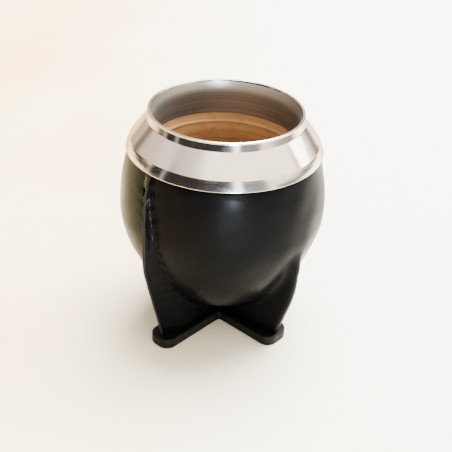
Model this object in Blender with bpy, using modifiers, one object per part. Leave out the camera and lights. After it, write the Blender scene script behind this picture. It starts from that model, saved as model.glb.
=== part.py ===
"""Mate gourd cup: a calabash cup in a sewn leather cover, with a turned metal rim
and a leather sole under four leather fins.

Units are metres, +Z is up. The origin is at the middle of the underside, on the
axis of the cup. The four fins stand on the diagonals, and the sewn seam runs down
the fin at -X, -Y.
"""
import math

import bpy
import numpy as np

COLLECTION_NAME = "mate gourd cup"

# Driving sizes of the whole cup
CUP_HEIGHT = 0.1050
BODY_RADIUS = 0.0461
BODY_WAIST_HEIGHT = 0.0590
BODY_TOP_SEMI_AXIS = 0.0690
BODY_BOTTOM_SEMI_AXIS = 0.0530
BODY_TOP_EXPONENT = 2.0
BODY_BOTTOM_EXPONENT = 1.7
FIT_GAP = 0.0003

# Metal rim: a bead at the lip, a cone, a lower band and a sleeve inside
METAL_WALL = 0.0009
LIP_OUTER_RADIUS = 0.0340
LIP_INNER_RADIUS = 0.03215
LIP_BEAD_RADIUS = 0.0010
SLEEVE_TOP_RADIUS = 0.0319
SLEEVE_TOP_HEIGHT = 0.1016
SLEEVE_BOTTOM_RADIUS = 0.0323
SLEEVE_BOTTOM_HEIGHT = 0.0887
RIM_NECK_RADIUS = 0.0333
RIM_NECK_HEIGHT = 0.1021
CONE_TOP_RADIUS = 0.0343
CONE_TOP_HEIGHT = 0.1005
CONE_BOTTOM_RADIUS = 0.0416
CONE_BOTTOM_HEIGHT = 0.0917
BAND_BOTTOM_RADIUS = 0.0433
BAND_BOTTOM_HEIGHT = 0.0877
RIM_SEGMENTS = 60

# Calabash: the wall that shows below the sleeve, down to a rounded floor
GOURD_SKIN_DEPTH = 0.0025
GOURD_TOP_HEIGHT = 0.0972
GOURD_MOUTH_RADIUS = 0.0336
GOURD_LEDGE_HEIGHT = 0.0883
GOURD_LEDGE_RADIUS = 0.0327
GOURD_RING_HEIGHT = 0.0840
GOURD_RING_DEPTH = 0.0007
GOURD_RING_HALF_HEIGHT = 0.0012
HOLLOW_RADIUS = 0.0376
HOLLOW_WAIST_HEIGHT = 0.0570
HOLLOW_FLOOR_HEIGHT = 0.0180
GOURD_SEGMENTS = 44

# Leather cover
LEATHER_WALL = 0.0020
LEATHER_TOP_HEIGHT = 0.0903
LEATHER_TUCK_HEIGHT = 0.0860
LEATHER_TUCK = 0.0006
FIN_BOTTOM_HEIGHT = 0.0053
FIN_CORNER_SHARE = 0.85
FOOT_FILLET = 0.0022
FIN_FILLET = 0.0045
FIN_FILLET_START = 0.0060
FIN_FILLET_END = 0.0260
SEAM_FILLET = 0.0028
SEAM_FILLET_START = 0.0400
SEAM_FILLET_END = 0.0600
HALVINGS = 30
SEAM_TWIST = math.radians(-6.0)
SEAM_TWIST_START = 0.0580
SEAM_TWIST_END = 0.0880
RING_POINTS = 92

# Sole: a cross under the fins, a little off the axis towards the fin at +X, -Y
SOLE_THICKNESS = 0.0050
SOLE_SHIFT = 0.00186
SOLE_CORNER_RADIUS = 0.0052
SOLE_NOTCH_RADIUS = 0.0015
SOLE_EDGE_ROUND = 0.0006

# Each leg: direction of its fin, reach and half width of its sole arm, and the reach
# and half width of its fin at a few heights, all from where the arms cross
SEAM_LEG = "seam"
FOLD_LEG = "fold"
LEGS = [
    {"kind": SEAM_LEG, "angle": math.radians(225.0), "sole_reach": 0.0424,
     "sole_half_width": 0.0065},
    {"kind": FOLD_LEG, "angle": math.radians(315.0), "sole_reach": 0.0374,
     "sole_half_width": 0.0075},
    {"kind": FOLD_LEG, "angle": math.radians(45.0), "sole_reach": 0.0400,
     "sole_half_width": 0.0070},
    {"kind": FOLD_LEG, "angle": math.radians(135.0), "sole_reach": 0.0400,
     "sole_half_width": 0.0070},
]
FIN_REACH = {
    SEAM_LEG: [
        (0.0053, 0.0396), (0.0120, 0.0415), (0.0200, 0.0439), (0.0280, 0.0460),
        (0.0360, 0.0482), (0.0460, 0.0503), (0.0540, 0.0505), (0.0660, 0.0499),
        (0.0740, 0.0477), (0.0800, 0.0457), (0.0850, 0.0433), (0.0880, 0.0405),
        (0.0903, 0.0370),
    ],
    FOLD_LEG: [
        (0.0053, 0.0360), (0.0120, 0.0381), (0.0200, 0.0407), (0.0280, 0.0426),
        (0.0380, 0.0439), (0.0440, 0.0440), (0.0500, 0.0415), (0.0560, 0.0375),
        (0.0650, 0.0310), (0.0903, 0.0180),
    ],
}
FIN_ROOT_HALF_WIDTH = {
    SEAM_LEG: [
        (0.0053, 0.0037), (0.0200, 0.0036), (0.0340, 0.0030), (0.0460, 0.0022),
        (0.0560, 0.0014), (0.0903, 0.0012),
    ],
    FOLD_LEG: [(0.0053, 0.0038), (0.0200, 0.0036), (0.0380, 0.0031), (0.0903, 0.0024)],
}
FIN_EDGE_HALF_WIDTH = {SEAM_LEG: 0.0012, FOLD_LEG: 0.0023}
FIN_TAPER = 0.0120
LEATHER_ROW_HEIGHTS = [
    0.0053, 0.0070, 0.0088, 0.0103, 0.0120, 0.0140, 0.0165, 0.0195, 0.0230, 0.0270,
    0.0315, 0.0365, 0.0415, 0.0465, 0.0515, 0.0570, 0.0630, 0.0690, 0.0750, 0.0800,
    0.0840, 0.0866, 0.0885, 0.0903,
]
SKIN_BOWL_ROWS = 8
SKIN_WALL_ROWS = 4


def clear_scene():
    """Remove every object and every collection left in the file."""
    for obj in list(bpy.data.objects):
        bpy.data.objects.remove(obj, do_unlink=True)
    for group in list(bpy.data.collections):
        bpy.data.collections.remove(group)


def new_collection(name):
    """Make a collection and link it to the scene."""
    group = bpy.data.collections.new(name)
    bpy.context.scene.collection.children.link(group)
    return group


def make_material(name, color, roughness, metallic):
    """Make a plain Principled BSDF material."""
    material = bpy.data.materials.new(name)
    material.use_nodes = True
    shader = material.node_tree.nodes["Principled BSDF"]
    shader.inputs["Base Color"].default_value = (*color, 1.0)
    shader.inputs["Roughness"].default_value = roughness
    shader.inputs["Metallic"].default_value = metallic
    return material


def add_object(group, name, data, material):
    """Put mesh or curve data in the collection as one named object."""
    obj = bpy.data.objects.new(name, data)
    group.objects.link(obj)
    data.materials.append(material)
    return obj


def arc(center_x, center_z, radius, start, end, count):
    """Points on an arc, from the start angle to the end angle, in degrees."""
    angles = np.radians(np.linspace(start, end, count))
    xs = center_x + radius * np.cos(angles)
    zs = center_z + radius * np.sin(angles)
    return list(zip(xs, zs))


def smooth_curve(stations, heights):
    """Cubic curve through (height, value) stations, with no overshoot past a step."""
    known = np.array(stations)
    z, v = known[:, 0], known[:, 1]
    slopes = np.gradient(v, z)
    index = np.clip(np.searchsorted(z, heights) - 1, 0, len(z) - 2)
    span = z[index + 1] - z[index]
    t = np.clip((heights - z[index]) / span, 0.0, 1.0)
    start = (2 * t**3 - 3 * t**2 + 1) * v[index] + (t**3 - 2 * t**2 + t) * span * slopes[index]
    end = (3 * t**2 - 2 * t**3) * v[index + 1] + (t**3 - t**2) * span * slopes[index + 1]
    return start + end


def smooth_step(value, low, high):
    """Go from 0 at low to 1 at high with level ends."""
    t = np.clip((value - low) / (high - low), 0.0, 1.0)
    return t * t * (3.0 - 2.0 * t)


def smooth_union(a, b, width):
    """The nearer of two distances, with a fillet of the given width where they meet."""
    overlap = np.clip(1.0 - np.abs(a - b) / width, 0.0, 1.0)
    return np.minimum(a, b) - overlap**2 * width / 4.0


def egg_radius(heights, inset):
    """Radius of the egg-shaped body at each height, its surface moved in by inset."""
    rise = np.asarray(heights, dtype=float) - BODY_WAIST_HEIGHT
    upper = np.clip(rise, 0.0, None) / (BODY_TOP_SEMI_AXIS - inset)
    lower = np.clip(-rise, 0.0, None) / (BODY_BOTTOM_SEMI_AXIS - inset)
    top = np.clip(1.0 - upper**BODY_TOP_EXPONENT, 0.0, 1.0) ** (1.0 / BODY_TOP_EXPONENT)
    bottom = np.clip(1.0 - lower**BODY_BOTTOM_EXPONENT, 0.0, 1.0)
    bottom = bottom ** (1.0 / BODY_BOTTOM_EXPONENT)
    return (BODY_RADIUS - inset) * np.where(rise > 0.0, top, bottom)


def skin_rows(inset):
    """Heights of the rows between gourd and leather, from the mouth to the lowest point.

    Both skins share them, so that their flat faces keep the same gap.
    """
    angles = np.linspace(math.pi / 2, 0.0, SKIN_BOWL_ROWS)
    drop = (BODY_BOTTOM_SEMI_AXIS - inset) * np.cos(angles) ** (2.0 / BODY_BOTTOM_EXPONENT)
    wall = np.linspace(LEATHER_TOP_HEIGHT, BODY_WAIST_HEIGHT, SKIN_WALL_ROWS)
    return np.concatenate([wall, BODY_WAIST_HEIGHT - drop[1:]])


def rim_skin_radius(height):
    """Inner radius of the rim's outer skin, which the gourd's mouth stays inside."""
    outline = [
        (BAND_BOTTOM_HEIGHT, BAND_BOTTOM_RADIUS),
        (CONE_BOTTOM_HEIGHT, CONE_BOTTOM_RADIUS),
        (CONE_TOP_HEIGHT, CONE_TOP_RADIUS),
    ]
    zs, rs = np.array(outline).T
    slant = math.hypot(1.0, (CONE_BOTTOM_RADIUS - CONE_TOP_RADIUS)
                       / (CONE_TOP_HEIGHT - CONE_BOTTOM_HEIGHT))
    return np.interp(height, zs, rs) - METAL_WALL * slant


def turned_object(group, name, profile, closed, segments, material):
    """Turn a profile of (radius, height) points about Z with a Screw modifier."""
    mesh = bpy.data.meshes.new(name)
    points = [(x, 0.0, z) for x, z in profile]
    edges = [(i, i + 1) for i in range(len(points) - 1)]
    if closed:
        edges.append((len(points) - 1, 0))
    mesh.from_pydata(points, edges, [])
    obj = add_object(group, name, mesh, material)
    screw = obj.modifiers.new("Screw", "SCREW")
    screw.axis = "Z"
    screw.angle = math.tau
    screw.steps = segments
    screw.render_steps = segments
    screw.use_merge_vertices = True
    screw.merge_threshold = 0.00001
    screw.use_smooth_shade = True
    return obj


def metal_rim(group, material):
    """The turned rim: lip bead, neck, cone and lower band outside, sleeve inside."""
    cone_slope = (CONE_BOTTOM_RADIUS - CONE_TOP_RADIUS) / (CONE_TOP_HEIGHT - CONE_BOTTOM_HEIGHT)
    joint_height = CONE_TOP_HEIGHT - 0.0014
    joint_radius = CONE_TOP_RADIUS + cone_slope * (CONE_TOP_HEIGHT - joint_height)
    cone_inset = METAL_WALL * math.hypot(1.0, cone_slope)
    band_inset = METAL_WALL * 1.1
    sleeve_outer_top = SLEEVE_TOP_RADIUS + METAL_WALL
    sleeve_outer_bottom = SLEEVE_BOTTOM_RADIUS + METAL_WALL
    bead_x = LIP_OUTER_RADIUS - LIP_BEAD_RADIUS
    bead_z = CUP_HEIGHT - LIP_BEAD_RADIUS
    profile = arc(bead_x, bead_z, LIP_BEAD_RADIUS, 90.0, -60.0, 6)
    profile += [
        (RIM_NECK_RADIUS, RIM_NECK_HEIGHT),
        (RIM_NECK_RADIUS + 0.0002, RIM_NECK_HEIGHT - 0.0008),
        (CONE_TOP_RADIUS, CONE_TOP_HEIGHT),
        (CONE_BOTTOM_RADIUS - 0.0003, CONE_BOTTOM_HEIGHT + 0.0004),
        (CONE_BOTTOM_RADIUS + 0.0002, CONE_BOTTOM_HEIGHT - 0.0005),
        (BAND_BOTTOM_RADIUS, BAND_BOTTOM_HEIGHT + 0.0003),
        (BAND_BOTTOM_RADIUS - 0.0003, BAND_BOTTOM_HEIGHT),
        (BAND_BOTTOM_RADIUS - METAL_WALL, BAND_BOTTOM_HEIGHT + 0.0001),
        (CONE_BOTTOM_RADIUS - band_inset, CONE_BOTTOM_HEIGHT - 0.0002),
        (joint_radius - cone_inset, joint_height),
        (sleeve_outer_top + 0.0004, joint_height + 0.0002),
        (sleeve_outer_top, joint_height - 0.0003),
        (sleeve_outer_bottom, SLEEVE_BOTTOM_HEIGHT + 0.0002),
        (sleeve_outer_bottom - 0.0002, SLEEVE_BOTTOM_HEIGHT),
        (SLEEVE_BOTTOM_RADIUS + 0.0002, SLEEVE_BOTTOM_HEIGHT),
        (SLEEVE_BOTTOM_RADIUS, SLEEVE_BOTTOM_HEIGHT + 0.0002),
        (SLEEVE_TOP_RADIUS, SLEEVE_TOP_HEIGHT),
        (LIP_INNER_RADIUS, CUP_HEIGHT - 0.0007),
        (LIP_INNER_RADIUS + 0.0002, CUP_HEIGHT - 0.00015),
    ]
    return turned_object(group, "metal_rim", profile, True, RIM_SEGMENTS, material)


def hollow_profile():
    """The gourd's inner wall, from the middle of the floor up to the ledge."""
    turn = np.radians(np.linspace(-90.0, 0.0, 8))
    depth = HOLLOW_WAIST_HEIGHT - HOLLOW_FLOOR_HEIGHT
    bowl = list(zip(HOLLOW_RADIUS * np.cos(turn), HOLLOW_WAIST_HEIGHT + depth * np.sin(turn)))
    bowl[0] = (0.0, HOLLOW_FLOOR_HEIGHT)
    ring_foot = GOURD_RING_HEIGHT - GOURD_RING_HALF_HEIGHT
    ring_radius = GOURD_LEDGE_RADIUS - GOURD_RING_DEPTH
    rise = np.linspace(0.25, 1.0, 4)
    heights = HOLLOW_WAIST_HEIGHT + (ring_foot - HOLLOW_WAIST_HEIGHT) * rise
    lean = (HOLLOW_RADIUS - GOURD_LEDGE_RADIUS) * (1.0 - smooth_step(rise, 0.0, 1.15))
    shoulder = list(zip(GOURD_LEDGE_RADIUS + lean, heights))
    ring = [
        (ring_radius, GOURD_RING_HEIGHT - GOURD_RING_HALF_HEIGHT / 2),
        (ring_radius, GOURD_RING_HEIGHT + GOURD_RING_HALF_HEIGHT / 2),
        (GOURD_LEDGE_RADIUS, GOURD_RING_HEIGHT + GOURD_RING_HALF_HEIGHT),
    ]
    return bowl + shoulder + ring


def gourd(group, material):
    """The calabash: hollow, open at the top, its mouth between rim sleeve and cone."""
    ledge = [
        (GOURD_LEDGE_RADIUS, GOURD_LEDGE_HEIGHT),
        (GOURD_MOUTH_RADIUS, GOURD_LEDGE_HEIGHT),
        (GOURD_MOUTH_RADIUS, GOURD_TOP_HEIGHT),
    ]
    neck = np.linspace(GOURD_TOP_HEIGHT, LEATHER_TOP_HEIGHT, 3)
    heights = np.concatenate([neck[:-1], skin_rows(GOURD_SKIN_DEPTH)])
    radii = egg_radius(heights, GOURD_SKIN_DEPTH)
    under_rim = rim_skin_radius(heights) - 2 * FIT_GAP
    radii = np.where(heights > LEATHER_TOP_HEIGHT, np.minimum(radii, under_rim), radii)
    radii[-1] = 0.0
    profile = hollow_profile() + ledge + list(zip(radii, heights))
    return turned_object(group, "gourd", profile, False, GOURD_SEGMENTS, material)


def sole_center():
    """Where the arms of the sole and the planes of the fins cross."""
    angle = LEGS[1]["angle"]
    return np.array([math.cos(angle), math.sin(angle)]) * SOLE_SHIFT


def egg_distance(radius, heights):
    """Distance from the egg's surface, less than zero inside it."""
    rise = heights - BODY_WAIST_HEIGHT
    above = rise > 0.0
    semi_axis = np.where(above, BODY_TOP_SEMI_AXIS, BODY_BOTTOM_SEMI_AXIS)
    power = np.where(above, BODY_TOP_EXPONENT, BODY_BOTTOM_EXPONENT)
    level = np.maximum(radius / BODY_RADIUS, 0.001)
    steep = np.maximum(np.abs(rise) / semi_axis, 0.001)
    size = (level**power + steep**power) ** (1.0 / power)
    slope = np.hypot((level / size) ** (power - 1.0) / BODY_RADIUS,
                     (steep / size) ** (power - 1.0) / semi_axis)
    return (size - 1.0) / slope


def fin_distance(px, py, heights, leg):
    """Distance from one fin, in section a bar that thins towards its rounded end."""
    reach = smooth_curve(FIN_REACH[leg["kind"]], heights)
    root = smooth_curve(FIN_ROOT_HALF_WIDTH[leg["kind"]], heights)
    edge = np.minimum(FIN_EDGE_HALF_WIDTH[leg["kind"]], root)
    direction = leg["angle"]
    if leg["kind"] == SEAM_LEG:
        direction = direction + seam_twist(heights)
    cx, cy = sole_center()
    along = (px - cx) * np.cos(direction) + (py - cy) * np.sin(direction)
    across = (py - cy) * np.cos(direction) - (px - cx) * np.sin(direction)
    half_width = root + (edge - root) * smooth_step(along, reach - FIN_TAPER, reach)
    corner = FIN_CORNER_SHARE * half_width
    past_end = np.abs(along - (reach - root) / 2.0) - (reach + root) / 2.0 + corner
    past_side = np.abs(across) - half_width + corner
    outside = np.hypot(np.maximum(past_end, 0.0), np.maximum(past_side, 0.0))
    return outside + np.minimum(np.maximum(past_end, past_side), 0.0) - corner


def leather_distance(radius, angles, heights):
    """Distance from the cover: the egg, with the four fins blended in."""
    tuck = LEATHER_TUCK * smooth_step(heights, LEATHER_TUCK_HEIGHT, LEATHER_TOP_HEIGHT)
    distance = egg_distance(radius + tuck, heights)
    px = radius * np.cos(angles)
    py = radius * np.sin(angles)
    wide = smooth_step(heights, FIN_FILLET_START, FIN_FILLET_END)
    thin = smooth_step(heights, SEAM_FILLET_START, SEAM_FILLET_END)
    for leg in LEGS:
        fillet = FOOT_FILLET + (FIN_FILLET - FOOT_FILLET) * wide
        if leg["kind"] == SEAM_LEG:
            fillet = fillet + (SEAM_FILLET - FIN_FILLET) * thin
        distance = smooth_union(distance, fin_distance(px, py, heights, leg), fillet)
    return distance


def leather_radius(angles, heights):
    """Outer radius of the leather along each direction, found by halving."""
    low = np.zeros_like(angles)
    high = np.full_like(angles, 2.0 * BODY_RADIUS)
    for _ in range(HALVINGS):
        middle = (low + high) / 2.0
        inside = leather_distance(middle, angles, heights) < 0.0
        low = np.where(inside, middle, low)
        high = np.where(inside, high, middle)
    return low


def seam_twist(heights):
    """The seam leans to one side as it climbs to the rim."""
    return SEAM_TWIST * smooth_step(heights, SEAM_TWIST_START, SEAM_TWIST_END)


def ring_angles(count):
    """Directions round the cup, closer together at the four fins."""
    fine = np.linspace(0.0, math.tau, 3601)
    density = np.ones_like(fine)
    center = sole_center()
    for leg in LEGS:
        tip = center + 0.042 * np.array([math.cos(leg["angle"]), math.sin(leg["angle"])])
        away = np.angle(np.exp(1j * (fine - math.atan2(tip[1], tip[0]))))
        density += 9.0 / (1.0 + (away / math.radians(6.0)) ** 2)
    total = np.concatenate([[0.0], np.cumsum((density[1:] + density[:-1]) / 2.0)])
    share = np.linspace(0.0, total[-1], count + 1)[:-1]
    return np.interp(share, total, fine)


def bridge_rows(first, second, count):
    """Quads between two rings of the same count, the second one above the first."""
    quads = []
    for i in range(count):
        j = (i + 1) % count
        quads.append((first + i, first + j, second + j, second + i))
    return quads


def leather_cover(group, material):
    """The cover: a loft from the cross of the fins to the round mouth, and its hollow."""
    rows_up = np.array(LEATHER_ROW_HEIGHTS)[:, None]
    heights = np.tile(rows_up, (1, RING_POINTS))
    angles = np.tile(ring_angles(RING_POINTS), (len(rows_up), 1))
    seam = LEGS[0]["angle"]
    away = np.angle(np.exp(1j * (angles - seam)))
    follow = 1.0 - smooth_step(np.abs(away), math.radians(12.0), math.radians(35.0))
    angles = angles + seam_twist(heights) * follow
    radii = leather_radius(angles, heights)
    outer = np.stack([radii * np.cos(angles), radii * np.sin(angles), heights], axis=2)

    cavity_z = skin_rows(LEATHER_WALL)[:-1]
    cavity_r = egg_radius(cavity_z, LEATHER_WALL)[:, None]
    flat = np.tile(ring_angles(RING_POINTS), (len(cavity_z), 1))
    inner = np.stack([cavity_r * np.cos(flat), cavity_r * np.sin(flat),
                      np.broadcast_to(cavity_z[:, None], flat.shape)], axis=2)

    rows = np.concatenate([outer, inner])
    points = rows.reshape(-1, 3)
    foot = len(points)
    floor = foot + 1
    lowest = skin_rows(LEATHER_WALL)[-1]
    points = np.concatenate([points, [[0.0, 0.0, FIN_BOTTOM_HEIGHT], [0.0, 0.0, lowest]]])
    faces = []
    for row in range(len(rows) - 1):
        faces += bridge_rows(row * RING_POINTS, (row + 1) * RING_POINTS, RING_POINTS)
    last = (len(rows) - 1) * RING_POINTS
    for i in range(RING_POINTS):
        j = (i + 1) % RING_POINTS
        faces.append((j, i, foot))
        faces.append((last + i, last + j, floor))
    mesh = bpy.data.meshes.new("leather_cover")
    mesh.from_pydata(points.tolist(), [], faces)
    mesh.update()
    mesh.shade_smooth()
    mesh.set_sharp_from_angle(angle=math.radians(40.0))
    return add_object(group, "leather_cover", mesh, material)


def sole_outline():
    """Outline of the cross: four arms with rounded ends and small inner corners."""
    center = sole_center()
    points = []
    order = sorted(LEGS, key=lambda leg: leg["angle"])
    corner = SOLE_CORNER_RADIUS
    for i, leg in enumerate(order):
        reach = leg["sole_reach"]
        half = leg["sole_half_width"]
        before = order[i - 1]["sole_half_width"]
        after = order[(i + 1) % len(order)]["sole_half_width"]
        local = [(before + SOLE_NOTCH_RADIUS, -half)]
        local += arc(reach - corner, -(half - corner), corner, -90.0, 0.0, 5)
        local += arc(reach - corner, half - corner, corner, 0.0, 90.0, 5)
        local.append((after + SOLE_NOTCH_RADIUS, half))
        local.append((after + 0.3 * SOLE_NOTCH_RADIUS, half + 0.3 * SOLE_NOTCH_RADIUS))
        cos, sin = math.cos(leg["angle"]), math.sin(leg["angle"])
        for x, y in local:
            points.append((center[0] + x * cos - y * sin, center[1] + x * sin + y * cos))
    return points


def sole(group, material):
    """The sole: the cross outline, cut from thick leather with its edges eased."""
    outline = sole_outline()
    curve = bpy.data.curves.new("sole", "CURVE")
    curve.dimensions = "2D"
    curve.fill_mode = "BOTH"
    curve.extrude = SOLE_THICKNESS / 2 - SOLE_EDGE_ROUND
    curve.bevel_depth = SOLE_EDGE_ROUND
    curve.bevel_resolution = 0
    curve.offset = -SOLE_EDGE_ROUND
    spline = curve.splines.new("POLY")
    spline.points.add(len(outline) - 1)
    for point, (x, y) in zip(spline.points, outline):
        point.co = (x, y, 0.0, 1.0)
    spline.use_cyclic_u = True
    obj = add_object(group, "sole", curve, material)
    obj.location.z = SOLE_THICKNESS / 2
    return obj


def main():
    """Build the four pieces of the cup."""
    clear_scene()
    group = new_collection(COLLECTION_NAME)
    metal_rim(group, make_material("polished_aluminium", (0.78, 0.75, 0.71), 0.16, 1.0))
    gourd(group, make_material("calabash_wall", (0.43, 0.21, 0.08), 0.60, 0.0))
    leather_cover(group, make_material("black_leather", (0.022, 0.022, 0.019), 0.35, 0.0))
    sole(group, make_material("sole_leather", (0.012, 0.014, 0.018), 0.45, 0.0))


main()
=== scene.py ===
"""Dress the mate gourd cup: turned metal rim, calabash, sewn leather cover and sole.

Units are metres, +Z is up, and the frame is the CAD model's. Each surface is worked
out with numpy on a grid of two parameters, and each material is made from nodes.
"""
import math

import bpy
import numpy as np
from mathutils import Matrix, Vector


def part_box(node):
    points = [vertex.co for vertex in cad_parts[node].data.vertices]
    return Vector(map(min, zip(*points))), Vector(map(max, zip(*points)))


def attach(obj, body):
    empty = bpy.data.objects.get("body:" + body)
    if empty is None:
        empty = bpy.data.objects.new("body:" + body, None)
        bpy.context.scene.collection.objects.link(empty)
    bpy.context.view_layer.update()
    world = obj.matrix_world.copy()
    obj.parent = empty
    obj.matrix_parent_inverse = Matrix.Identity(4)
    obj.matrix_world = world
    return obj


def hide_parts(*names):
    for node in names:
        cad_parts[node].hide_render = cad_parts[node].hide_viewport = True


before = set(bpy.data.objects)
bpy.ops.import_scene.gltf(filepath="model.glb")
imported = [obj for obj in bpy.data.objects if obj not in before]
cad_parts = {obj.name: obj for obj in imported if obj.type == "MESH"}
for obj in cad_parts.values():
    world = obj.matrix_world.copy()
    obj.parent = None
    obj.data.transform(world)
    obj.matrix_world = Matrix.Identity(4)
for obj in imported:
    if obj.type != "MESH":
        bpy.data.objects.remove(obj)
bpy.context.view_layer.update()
RIM_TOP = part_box("metal_rim")[1][2]
SOLE_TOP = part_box("sole")[1][2]
COVER_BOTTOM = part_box("leather_cover")[0][2]

bl_info = {
    "name": "Mate Gourd Cup",
    "version": (1, 0, 0),
    "blender": (4, 5, 0),
    "location": "3D View > Sidebar > Mate Cup",
    "description": "Builds a leather covered mate gourd cup piece by piece",
    "category": "Add Mesh",
}

MM = 0.001

# Arcs of an outline: largest shares of a side that a fillet and its hold may take
FILLET_SHARE = 0.45
HOLD_SHARE = 0.04

# Soft unevenness: how many waves a swell sums up, and how their lengths vary
SWELL_WAVES = 14
SWELL_SPREAD = (0.7, 1.6)

# Egg-shaped body under the leather. A least share keeps its slope finite on the axis
BODY_TOP_SEMI_AXIS = 0.0690
BODY_BOTTOM_SEMI_AXIS = 0.0530
BODY_TOP_EXPONENT = 2.0
BODY_BOTTOM_EXPONENT = 1.7
GOURD_SKIN_DEPTH = 0.0025
LEAST_SHARE = 0.001

# Rim corners: radius, height and fillet radius, in millimetres, down the outside
RIM_CORNERS = [
    (33.10, 105.00, 0.50), (34.00, 104.85, 0.40), (33.80, 104.50, 0.30), (33.15, 104.20, 0.35),
    (34.25, 101.20, 1.20), (38.22, 96.21, 150.0), (41.45, 92.05, 0.45), (41.95, 91.15, 0.60),
    (42.70, 89.55, 12.0), (43.32, 87.85, 0.25), (43.10, 87.66, 0.10), (42.45, 87.80, 0.15),
    (40.65, 91.50, 0.20), (34.30, 99.10, 0.20), (33.25, 99.30, 0.20), (32.80, 98.60, 0.20),
    (33.20, 88.75, 0.20), (32.35, 88.68, 0.15), (31.60, 98.60, 20.0), (31.80, 101.00, 9.00),
    (32.50, 104.20, 3.00), (32.75, 105.00, 0.60),
]
RIM_SEGMENTS = 288
RIM_ARC_STEPS = 5
RIM_HOLD = 0.25
SLEEVE_EDGE_RADIUS = 0.0330
SLEEVE_EDGE_HEIGHT = 0.1043
# Below this height the sleeve turns satin and darker; the darkening is painted shade for the dark
# interior that it mirrors
SLEEVE_SATIN_AND_SHADE_HEIGHT = 0.0985
SATIN_AT_LIP = 0.6

# Turned metal strays from round in long and short waves, by less at the lip. A layer of
# swells has its wavelength, its seed and its height, or its share of a given height
RIM_LONG_SWELLS = ((0.016, 11, 0.70),)
RIM_SHORT_SWELLS = ((0.007, 12, 0.25),)
RIM_LONG_STRETCH = (1.0, 1.0, 0.6)
RIM_CALM_HEIGHTS = (0.1010, 0.1040)
RIM_CALM = 0.75

# Calabash wall, from the mouth between sleeve and cone down to the floor
GOURD_TOP_HEIGHT = 0.0972
GOURD_TOP_RADIUS = 0.03524
GOURD_CONE_SLOPE = 0.83
GOURD_MOUTH_RADIUS = 0.0336
GOURD_LEDGE_HEIGHT = 0.0883
GOURD_LEDGE_RADIUS = 0.0327
GOURD_RING_HEIGHT = 0.0842
GOURD_RING_DEPTH = 0.0005
GOURD_RING_WIDTH = 0.0007
# Wavelength over which the painted highlight on the raised rings varies
GOURD_RING_HIGHLIGHT_WAVELENGTH = 0.0200
GOURD_SWELLS = ((0.012, 21, 0.00010), (0.0035, 22, 0.00004))
HOLLOW_RADIUS = 0.0376
HOLLOW_WAIST_HEIGHT = 0.0570
HOLLOW_FLOOR_HEIGHT = 0.0180
GOURD_SEGMENTS = 240
# How strong the painted highlight on the raised rings is, and how much it varies along them
GOURD_RING_HIGHLIGHT = 0.60
GOURD_RING_HIGHLIGHT_VARIES = 0.35

# Rows of the wall's profile, and the angle from the axis at which its bowl starts
BOWL_START = 0.012
BOWL_ROWS = 44
WALL_ROWS = 110
NECK_ROWS = 6
SHOULDER_ROWS = 30
BOTTOM_ROWS = 40

# Raised rings of the wall: height, share of the full ring depth, and the strength of the painted
# highlight on their crest
GOURD_RINGS = ((GOURD_RING_HEIGHT, 1.0, 0.40), (0.0795, 0.20, 0.15), (0.0762, 0.15, 0.10))

# Leather cover
LEATHER_WALL = 0.0020
LEATHER_TOP_HEIGHT = 0.0903
LEATHER_TUCK_HEIGHT = 0.0860
LEATHER_TUCK = 0.0006
FIN_CORNER_SHARE = 0.85
FOOT_FILLET = 0.0022
FIN_FILLET = 0.0045
FIN_FILLET_START = 0.0060
FIN_FILLET_END = 0.0260
SEAM_FILLET = 0.0028
SEAM_FILLET_START = 0.0400
SEAM_FILLET_END = 0.0600
SEAM_TWIST = math.radians(-6.0)
SEAM_TWIST_START = 0.0580
SEAM_TWIST_END = 0.0880
LEATHER_SWELLS = ((0.030, 31, 1.0), (0.012, 32, 0.4))
COVER_COLUMNS = 384
COVER_ROWS = 200
CAVITY_START = 0.02
CAVITY_ROWS = 24
CAVITY_WALL_ROWS = 8

# The search for the leather's surface starts on the axis and ends safely outside it
SEARCH_RADIUS = 0.09
HALVINGS = 26

# Rows crowd at the top by a power, and columns at the fins by a peak and its width
ROW_POWER = 1.25
ANGLE_SAMPLES = 7201
FIN_TIP_REACH = 0.042
FIN_PEAK = (5.0, math.radians(6.0))
SEAM_PEAK = (9.0, math.radians(2.0))
TWIST_FOLLOWS = (math.radians(12.0), math.radians(35.0))

# Seam: two cut edges side by side, sewn where they leave the body
SEAM_GROOVE_DEPTH = 0.0004
SEAM_GROOVE_HALF_WIDTH = 0.00028
CUT_EDGE_HALF_WIDTH = 0.0009
CUT_EDGE_FLAT_SHARE = 0.7
GROOVE_DARKENS = 0.7
STITCH_PITCH = 0.0060
STITCH_LENGTH = 0.0040
STITCH_RADIUS = 0.00036
STITCH_STEP_OUT = 0.00015
STITCH_LOW = 0.0130
STITCH_HIGH = 0.0850
STITCH_RINGS = 9
STITCH_SIDES = 8
STITCH_TOP_GAP = 0.4
CREASE_SEARCH = 0.0200
SLOPE_STEP = 0.0002

# A stitch rises and sinks by shares of its radius, and thins to a share at its ends,
# stated as its square
STITCH_RISE = 0.6
STITCH_SINK = 0.5
STITCH_END_SQUARED = 0.06

# Puckers lie at every stitch beside the seam, and wander along it by so many radians
PUCKER_DEPTH = 0.00035
PUCKER_REACH = 0.0050
PUCKER_WANDER = 1.2
PUCKER_WANDER_WAVELENGTH = 0.0200

# Where the relief fades: up from the sole, below the rim, and behind the seam's edge
RELIEF_STARTS = (0.0053, 0.0110)
RELIEF_ENDS = (0.0830, 0.0880)
GROOVE_FADES = (0.0004, 0.0010)
CUT_EDGE_FADES = (0.0002, 0.0008)

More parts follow.
